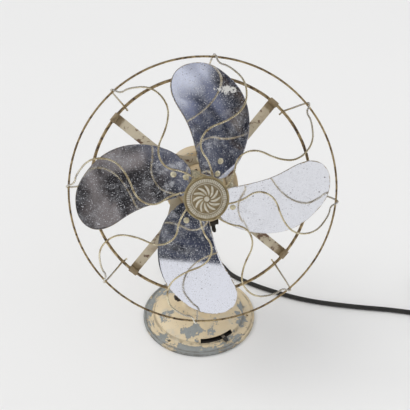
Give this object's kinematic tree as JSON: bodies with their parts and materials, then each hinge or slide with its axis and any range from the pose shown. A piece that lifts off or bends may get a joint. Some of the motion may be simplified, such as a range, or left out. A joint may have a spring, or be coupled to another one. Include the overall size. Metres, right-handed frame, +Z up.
{
  "type": "desk fan",
  "caption": "Caged electric desk fan: round bell base, swivel and tilt head, twisted paddle blades and a guard of S-shaped wires, with its mains lead.",
  "frame": {"origin": "centre of the base's underside, where it rests on the table", "axes": "+Z up, the head faces -Y with the stem's swivel at its middle, +X is the head's left, seen from the front it is on the right"},
  "size_m": [0.6171, 0.2944, 0.424],
  "materials": {
    "base_enamel": "worn cream enamel on cast iron, chipped to grey",
    "plate_fibre": "black japanned sheet",
    "screw_steel": "darkened steel",
    "board_fibre": "dark vulcanised fibre",
    "contact_brass": "worn brass",
    "core_iron": "laminated iron",
    "winding": "varnished copper winding",
    "relief_rubber": "matte",
    "cord_cover": "matte, dusty",
    "plug_black": "satin moulded",
    "lever_steel": "dull, rusty",
    "knob_black": "worn black",
    "thumb_dark": "blackened",
    "stem_enamel": "worn cream enamel",
    "wing_dark": "blackened",
    "motor_enamel": "worn cream enamel",
    "cover_enamel": "worn cream enamel",
    "bush_bronze": "oiled bronze",
    "strap_enamel": "worn cream paint with rust specks",
    "ring_brass": "dull lacquered",
    "wire_plated": "worn plating over brass",
    "badge_face": "engraved ring border, worn cream fill",
    "badge_back": "dull",
    "shaft_steel": "ground",
    "hub_plated": "worn plating",
    "rivet_plated": "worn plating",
    "blade_plated": "pitted mirror plating, brass at the edges"
  },
  "bodies": {
    "base": {"base_shell": "base_enamel", "base_plate": "plate_fibre", "base_plate_screws": "screw_steel", "switch_board": "board_fibre", "switch_contacts": "contact_brass", "speed_coil_core": "core_iron", "speed_coil": "winding", "strain_relief": "relief_rubber", "cord": "cord_cover", "cord_coil": "cord_cover", "plug_body": "plug_black", "plug_pins": "contact_brass"},
    "speed_lever_body": {"speed_lever": "lever_steel", "lever_knob": "knob_black", "wiper": "contact_brass"},
    "thumb_screw_body": {"swivel_thumb_screw": "thumb_dark"},
    "stem_body": {"stem": "stem_enamel", "tilt_bolt": "screw_steel"},
    "wing_nut_body": {"tilt_wing_nut": "wing_dark"},
    "head": {"motor_housing": "motor_enamel", "front_cover": "cover_enamel", "rear_cover": "motor_enamel", "housing_screws": "screw_steel", "stator_core": "core_iron", "stator_coils": "winding", "front_bearing": "bush_bronze", "rear_bearing": "bush_bronze", "guard_spider": "strap_enamel", "spider_screws": "screw_steel", "rear_ring": "ring_brass", "front_ring": "ring_brass", "guard_wire_1": "wire_plated", "guard_wire_2": "wire_plated", "guard_wire_3": "wire_plated", "guard_wire_4": "wire_plated", "guard_wire_5": "wire_plated", "guard_wire_6": "wire_plated", "guard_wire_7": "wire_plated", "guard_wire_8": "wire_plated", "badge": "badge_face", "badge_clamp": "badge_back", "badge_screw": "screw_steel"},
    "rotor": {"shaft": "shaft_steel", "rotor_core": "core_iron", "blade_hub": "hub_plated", "hub_screw": "screw_steel", "blade_1": "blade_plated", "blade_2": "blade_plated", "blade_3": "blade_plated", "blade_4": "blade_plated", "blade_rivets": "rivet_plated"}
  },
  "joints": [
    {"name": "head_swivel", "type": "hinge", "parent": "base", "child": "stem_body", "pos_m": [0, 0, 0.04], "axis": [0, 0, 1], "range_deg": [-55, 95]},
    {"name": "head_tilt", "type": "hinge", "parent": "stem_body", "child": "head", "pos_m": [0, 0, 0.1755], "axis": [-1, 0, 0], "range_deg": [-33, 12]},
    {"name": "blade_spin", "type": "hinge", "parent": "head", "child": "rotor", "pos_m": [0, -0.08149, 0.27527], "axis": [0, -0.9205, 0.3907], "continuous": true},
    {"name": "speed_lever_swing", "type": "hinge", "parent": "base", "child": "speed_lever_body", "pos_m": [0, 0, 0.0102], "axis": [0, 0, 1], "range_deg": [-27, 11]},
    {"name": "wing_nut_turn", "type": "hinge", "parent": "stem_body", "child": "wing_nut_body", "pos_m": [0, 0, 0.1755], "axis": [1, 0, 0], "range_deg": [-170, 170]},
    {"name": "thumb_screw_turn", "type": "hinge", "parent": "base", "child": "thumb_screw_body", "pos_m": [-0.02819, -0.01026, 0.049], "axis": [-0.9397, -0.342, 0], "range_deg": [-175, 175]}
  ]
}
